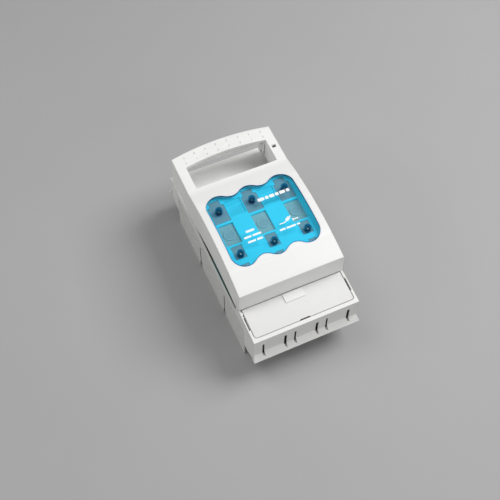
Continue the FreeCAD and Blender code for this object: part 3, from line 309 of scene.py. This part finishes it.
MATERIALS = {
    "housing_grey": moulded("housing_grey", GREY, 0.46),
    "cover_grey": moulded("cover_grey", (0.73, 0.73, 0.715), 0.48),
    "pad_grey": moulded("pad_grey", (0.77, 0.77, 0.755), 0.45),
    # painted shade in the bottoms of the skirt grooves
    "skirt_grey": moulded("skirt_grey", (0.66, 0.66, 0.64), 0.5, shade_boxes=[GROOVES], dark=0.36),
    "inner_grey": moulded("inner_grey", (0.66, 0.66, 0.64), 0.5),
    # painted light: the carrier's cyan glows faintly to look brighter under the window
    "carrier_cyan": painted_glow(moulded("carrier_cyan", CYAN, 0.42), CYAN, 0.09),
    # painted shade: a dark teal standing for the cyan carrier's side in shade, seen through the gap
    # under the lid
    "guard_teal": moulded("guard_teal", (0.015, 0.23, 0.22), 0.35),
    "zinc_steel": metal("zinc_steel", (0.62, 0.62, 0.63), 0.32, (1, 0.15, 1)),
    "spring_steel": metal("spring_steel", (0.46, 0.47, 0.49), 0.28, (1, 0.1, 1)),
    "silvered_copper": metal("silvered_copper", (0.83, 0.81, 0.76), 0.24, (0.1, 1, 1),
                             tarnish=(0.62, 0.5, 0.36)),
    "cap_steel": metal("cap_steel", (0.70, 0.69, 0.66), 0.26, (1, 1, 0.12)),
    "ceramic_white": ceramic("ceramic_white", (0.60, 0.56, 0.54)),
    "indicator_grey": moulded("indicator_grey", (0.54, 0.51, 0.51), 0.35),
    "shield_grey": moulded("shield_grey", (0.40, 0.38, 0.40), 0.45),
    "window_blue": tinted_glass("window_blue", (0.76, 0.945, 0.998), (0.745, 0.935, 0.99)),
    # painted shade in the base's deep chamber and tray and behind the skirt slits
    "base_painted_shade": moulded("base_painted_shade", (0.77, 0.77, 0.755), 0.46, [CHAMBER, TRAY, *BEHIND_SLITS]),
    "sleeve_blue": tinted_glass("sleeve_blue", (0.18, 0.62, 0.82), (0.15, 0.57, 0.78)),
    "rim_blue": tinted_glass("rim_blue", (0.03, 0.26, 0.48), (0.02, 0.22, 0.44)),
    # painted shade: the dark inside of the deep test holes
    "pit_painted_shade": moulded("pit_painted_shade", (0.02, 0.08, 0.11), 0.4),
    "print_white": moulded("print_white", (0.88, 0.90, 0.90), 0.5),
}

# ---------------------------------------------------------------- mesh helpers

WELD = 2e-6  # points closer than this are one point
FLAT = math.radians(0.6)  # faces that turn by less than this are one face


def soften(obj, limit=38.0):
    """Smooth shading with crisp folds and flat faces kept flat."""
    obj.data.shade_smooth()
    obj.data.set_sharp_from_angle(angle=math.radians(limit))
    weight = obj.modifiers.new("weighted", "WEIGHTED_NORMAL")
    weight.keep_sharp = True
    weight.weight = 80
    return obj


def clean_copy(node):
    """A welded, untriangulated copy of a CAD node's mesh in a bmesh."""
    bm = bmesh.new()
    bm.from_mesh(frame["nodes"][node].data)
    bmesh.ops.remove_doubles(bm, verts=bm.verts, dist=WELD)
    bmesh.ops.dissolve_limit(bm, angle_limit=FLAT, verts=bm.verts, edges=bm.edges)
    return bm


def bevel(bm, width, segments=2, angle=35.0):
    """Rounds the sharp convex and concave edges of a bmesh."""
    limit = math.radians(angle)
    sharp = [e for e in bm.edges if e.is_manifold and e.calc_face_angle(0.0) > limit]
    if sharp:
        bmesh.ops.bevel(bm, geom=sharp, offset=width, segments=segments, profile=0.6,
                        affect="EDGES", clamp_overlap=True, loop_slide=True)


def piece(name, bm, body, slot, material=None):
    """Turns a bmesh into a piece that rides on a body and takes its finish from a slot."""
    mesh = bpy.data.meshes.new(name)
    bm.to_mesh(mesh)
    bm.free()
    obj = bpy.data.objects.new(name, mesh)
    bpy.context.scene.collection.objects.link(obj)
    mesh.materials.append(MATERIALS[material or slot])
    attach(obj, body)
    return obj


# ---------------------------------------------------------------- the CAD pieces, softened

SLOT_OF = {row["node"]: row["material_slot"] for row in frame["record"]["subparts"]}
BODY_OF = {n: body for body, nodes in frame["record"]["behaviour"]["bodies"].items() for n in nodes}

# How far an edge is rounded, where it isn't the usual amount
USUAL_EDGE = 0.2 * MM
EDGE = {
    "base_housing": 0.5 * MM, "lower_terminal_cover": 0.4 * MM, "upper_terminal_cover": 0.4 * MM,
    "cover_grip_pad": 0.3 * MM, "lid_shell": 0.4 * MM, "fuse_carrier": 0.3 * MM,
    "side_skirt_left": 0.12 * MM, "side_skirt_right": 0.12 * MM,
}
# The material, where it isn't the slot's own
FINISH = {"base_housing": "base_painted_shade", "lower_terminal_cover": "cover_grey",
          "cover_grip_pad": "pad_grey"}


def refine(node):
    """Stands a bevelled copy of a CAD node in its place."""
    bm = clean_copy(node)
    bevel(bm, EDGE.get(node, USUAL_EDGE))
    obj = piece(node + "_fine", bm, BODY_OF[node], SLOT_OF[node], FINISH.get(node))
    soften(obj)
    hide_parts(node)


for node in sorted(frame["nodes"]):
    if node != "window":
        refine(node)

# ---------------------------------------------------------------- the window and its print


def centre_of(node, axis):
    """The middle of a node's box along one axis."""
    low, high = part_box(node)
    return (low[axis] + high[axis]) / 2


POLE_X = [centre_of(f"fuse_body_{number}", 0) for number in (1, 2, 3)]
FUSE_Y = centre_of("fuse_body_2", 1)
TEST_HOLE_Y = 25.2 * MM  # from a fuse-link's middle to its test holes
HOLE_RADIUS = 2.6 * MM
TEST_HOLES = [Vector((x, FUSE_Y + TEST_HOLE_Y * way)) for x in POLE_X for way in (-1, 1)]

# The window's materials by slot, and what tells its sleeves and its sloping rim from the rest
CLEAR, SLEEVE, RIM = range(3)
SLEEVE_REACH = HOLE_RADIUS + 1.4 * MM
SLEEVE_TOP_Z = 95.5 * MM
UPRIGHT, SLOPING = 0.5, 0.93  # a face is so when its normal's Z is smaller


def near_hole(point, reach):
    """True for a point less than reach from the axis of a test hole."""
    return any((point.xy - hole).length < reach for hole in TEST_HOLES)


def make_window():
    """The clear window; its rim is a deeper blue, and so are the sleeves of its test holes."""
    bm = clean_copy("window")
    bevel(bm, 0.5 * MM, 3)
    window = piece("window_fine", bm, "lid", "window_blue")
    for material in ("sleeve_blue", "rim_blue"):
        window.data.materials.append(MATERIALS[material])
    for face in window.data.polygons:
        tilt = abs(face.normal.z)
        if near_hole(face.center, SLEEVE_REACH):
            in_sleeve = tilt < UPRIGHT or face.center.z < SLEEVE_TOP_Z
            face.material_index = SLEEVE if in_sleeve else CLEAR
        elif tilt < SLOPING:
            face.material_index = RIM
    soften(window)
    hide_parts("window")
    return window


def lathe(name, profile, foot, slot, material, turns=40):
    """A solid of revolution on the lid; profile is (radius, height over the foot), axis to axis."""
    bm = bmesh.new()
    rings = []
    for radius, height in profile:
        angles = [math.tau * k / turns for k in range(turns)] if radius else [0.0]
        rings.append([bm.verts.new((foot[0] + radius * math.cos(a), foot[1] + radius * math.sin(a),
                                    foot[2] + height)) for a in angles])
    for inner, outer in zip(rings, rings[1:]):
        for k in range(turns):
            a, b = inner[k % len(inner)], inner[(k + 1) % len(inner)]
            c, d = outer[(k + 1) % len(outer)], outer[k % len(outer)]
            corners = [v for i, v in enumerate((a, b, c, d)) if v not in (a, b, c, d)[:i]]
            bm.faces.new(corners)
    bmesh.ops.recalc_face_normals(bm, faces=bm.faces)
    soften(piece(name, bm, "lid", slot, material))


def make_probe_cups():
    """Dark cups of painted shade in the test holes, each with the metal probe point at its bottom."""
    foot_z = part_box("window")[0][2] + 0.1 * MM
    rim = HOLE_RADIUS - 0.06 * MM
    cup = [(0, 0), (rim, 0), (rim, 1.5 * MM), (1.3 * MM, 0.5 * MM), (0, 0.5 * MM)]
    point = [(0, 0.55 * MM), (0.9 * MM, 0.55 * MM), (0.8 * MM, 0.9 * MM), (0, 1.0 * MM)]
    for number, hole in enumerate(TEST_HOLES, start=1):
        foot = (*hole, foot_z)
        lathe(f"probe_cup_{number}", cup, foot, "guard_teal", "pit_painted_shade")
        lathe(f"probe_point_{number}", point, foot, "zinc_steel", "zinc_steel", turns=24)


ABOVE_Z = 0.2  # a level above the whole device
INK_TOP, INK_FOOT = 0.05 * MM, -0.02 * MM  # the printed layer, from the window's front face


def on_window(tree, x, y, lift):
    """A point on the window's front face, raised by lift."""
    hit = tree.ray_cast(Vector((x, y, ABOVE_Z)), Vector((0, 0, -1)))[0]
    return hit + Vector((0, 0, lift))


def slabs(name, outlines, tree):
    """Thin printed shapes on the window; each outline is a convex polygon in X and Y."""
    bm = bmesh.new()
    for outline in outlines:
        top = [bm.verts.new(on_window(tree, x, y, INK_TOP)) for x, y in outline]
        foot = [bm.verts.new(on_window(tree, x, y, INK_FOOT)) for x, y in outline]
        bm.faces.new(top)
        bm.faces.new(list(reversed(foot)))
        for k in range(len(top)):
            after = (k + 1) % len(top)
            bm.faces.new((top[k], foot[k], foot[after], top[after]))
    bmesh.ops.recalc_face_normals(bm, faces=bm.faces)
    piece(name, bm, "lid", "ceramic_white", "print_white")


def bar(x, y, width, height):
    """A rounded printed bar from its lower left corner, in millimetres of the row frame."""
    corner = min(width, height) * 0.28
    left, right, bottom, top = x + corner, x + width - corner, y + corner, y + height - corner
    outline = []
    for cx, cy, start in ((right, top, 0), (left, top, 90), (left, bottom, 180), (right, bottom, 270)):
        for step in range(4):
            angle = math.radians(start + 30 * step)
            outline.append(((cx + corner * math.cos(angle)) * MM,
                            (cy + corner * math.sin(angle)) * MM))
    return outline


def bar_row(x, y, widths, height, gap):
    """Bars side by side from a lower left corner."""
    row = []
    for width in widths:
        row.append(bar(x, y, width, height))
        x += width + gap
    return row


def stroke(start, end, origin, width=0.95):
    """A straight printed line between two points, in millimetres from an origin."""
    a, b = (Vector((x + origin[0], y + origin[1])) for x, y in (start, end))
    side = (b - a).orthogonal().normalized() * width / 2
    return [(p + s) * MM for p, s in ((a, side), (b, side), (b, -side), (a, -side))]


# Millimetres of the row frame: the maker's panel, then the four blocks of ratings
PANEL = (3.0, 11.8, (6.6, 3.4, 5.0, 3.4, 5.8, 3.4), 3.6, 1.0)
RATINGS = ((-21.5, -15.0, (8.4,), 2.2), (-25.5, -20.4, (7.2, 8.6), 1.9),
           (-24.0, -25.6, (8.0, 5.6), 1.9), (8.0, -25.4, (5.6, 9.4, 3.0), 1.8))
RATING_GAP = 1.2
# The fuse-switch symbol: wire, open blade, wire, fixed contact and the fuse's box on the blade
SYMBOL_AT = (10.5, -18.6)
SYMBOL = (((0, 0), (5.4, 0)), ((5.4, 0), (13.0, 4.6)), ((13.6, 0), (19.0, 0)),
          ((13.6, -1.3), (13.6, 1.3)), ((7.2, 2.4), (10.6, 4.5)), ((8.2, 0.6), (11.6, 2.7)),
          ((7.2, 2.4), (8.2, 0.6)), ((10.6, 4.5), (11.6, 2.7)))


def make_print(window):
    """Generic white marking: blocks for the maker's panel and the ratings, and the symbol."""
    bpy.context.view_layer.update()
    tree = BVHTree.FromObject(window, bpy.context.evaluated_depsgraph_get())
    blocks = bar_row(*PANEL)
    for rating in RATINGS:
        blocks += bar_row(*rating, RATING_GAP)
    slabs("window_blocks", blocks, tree)
    slabs("window_symbol", [stroke(start, end, SYMBOL_AT) for start, end in SYMBOL], tree)


def make_latches():
    """Grey latch tabs that show in the carrier's three small slots."""
    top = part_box("contact_shields_lower")[1][2]
    for number, x in enumerate(POLE_X, start=1):
        bm = bmesh.new()
        bmesh.ops.create_cube(bm, size=1.0)
        bmesh.ops.scale(bm, vec=(7.7 * MM, 2.8 * MM, 0.8 * MM), verts=bm.verts)
        bmesh.ops.translate(bm, vec=(x, FUSE_Y - 36.0 * MM, top - 0.4 * MM), verts=bm.verts)
        bevel(bm, 0.25 * MM, 3)
        soften(piece(f"carrier_latch_{number}", bm, "lid", "shield_grey"))


make_probe_cups()
make_latches()
make_print(make_window())

# ---------------------------------------------------------------- studio

FLOOR_SIZE = 6.0
FLOOR_GAP = 0.2 * MM  # under the lowest point of the device
AIM = (0, 0, 0.05)
LIGHTS = {  # place, size and power
    "key": ((0.80, -0.10, 1.22), (0.7, 0.8), 14.5),
    "top_left": ((-0.45, 0.35, 1.30), (0.5, 0.6), 3.2),
    "left_fill": ((-1.5, 0.1, 0.75), (1.2, 0.8), 4.8),
    "front_fill": ((0.2, -1.6, 0.75), (1.2, 0.6), 4.2),
}
WORLD_COLOUR = (1.0, 0.99, 0.97)
WORLD_STRENGTH = 0.22


def studio_floor():
    """A plain pale floor with a faint paper tooth."""
    foot = (0, 0, cad_bounds[0][2] - FLOOR_GAP)
    bpy.ops.mesh.primitive_plane_add(size=FLOOR_SIZE, location=foot)
    floor = bpy.context.object
    floor.name = "floor"
    s = Shade("floor_paper")
    paper = s.mix(s.noise(6.0, 4.0), (0.40, 0.40, 0.405), (0.43, 0.43, 0.435))
    s.link(paper, s.shader.inputs["Base Color"])
    s.link(s.bump(s.noise(600.0, 3.0), 0.2 * MM, 0.3), s.shader.inputs["Normal"])
    s.shader.inputs["Roughness"].default_value = 0.9
    floor.data.materials.append(s.mat)


def area_light(name, place, size, power):
    """A soft rectangular light turned to the device."""
    data = bpy.data.lights.new(name, "AREA")
    data.shape = "RECTANGLE"
    data.size, data.size_y = size
    data.energy = power
    obj = bpy.data.objects.new(name, data)
    bpy.context.scene.collection.objects.link(obj)
    obj.location = place
    obj.rotation_euler = (Vector(AIM) - Vector(place)).to_track_quat("-Z", "Y").to_euler()


def soft_surroundings():
    """Even, slightly warm light from all around."""
    world = bpy.data.worlds.new("world")
    bpy.context.scene.world = world
    world.use_nodes = True
    background = world.node_tree.nodes["Background"]
    background.inputs["Color"].default_value = (*WORLD_COLOUR, 1)
    background.inputs["Strength"].default_value = WORLD_STRENGTH


studio_floor()
for light, (place, size, power) in LIGHTS.items():
    area_light(light, place, size, power)
soft_surroundings()

# ---------------------------------------------------------------- camera

CAMERA = {"azimuth": -24.623, "elevation": 58.411, "roll": 0.465, "distance": 0.79552,
          "target": (-0.01943, -0.01895, 0.0765), "lens": 61.2, "sensor": 36.0}


def place_camera():
    """A camera at an azimuth and elevation round its target, rolled about its own axis."""
    az, el, roll = (math.radians(CAMERA[k]) for k in ("azimuth", "elevation", "roll"))
    back = Vector((math.sin(az) * math.cos(el), -math.cos(az) * math.cos(el), math.sin(el)))
    right = (-back).cross(Vector((0, 0, 1))).normalized()
    up = right.cross(-back)
    across = right * math.cos(roll) + up * math.sin(roll)
    upward = up * math.cos(roll) - right * math.sin(roll)
    data = bpy.data.cameras.new("camera")
    data.lens = CAMERA["lens"]
    data.sensor_width = CAMERA["sensor"]
    data.clip_start = 0.01
    obj = bpy.data.objects.new("camera", data)
    bpy.context.scene.collection.objects.link(obj)
    turn = Matrix((across, upward, back)).transposed()
    place = Vector(CAMERA["target"]) + back * CAMERA["distance"]
    obj.matrix_world = Matrix.Translation(place) @ turn.to_4x4()
    bpy.context.scene.camera = obj


place_camera()
bpy.context.scene.view_settings.view_transform = "Standard"
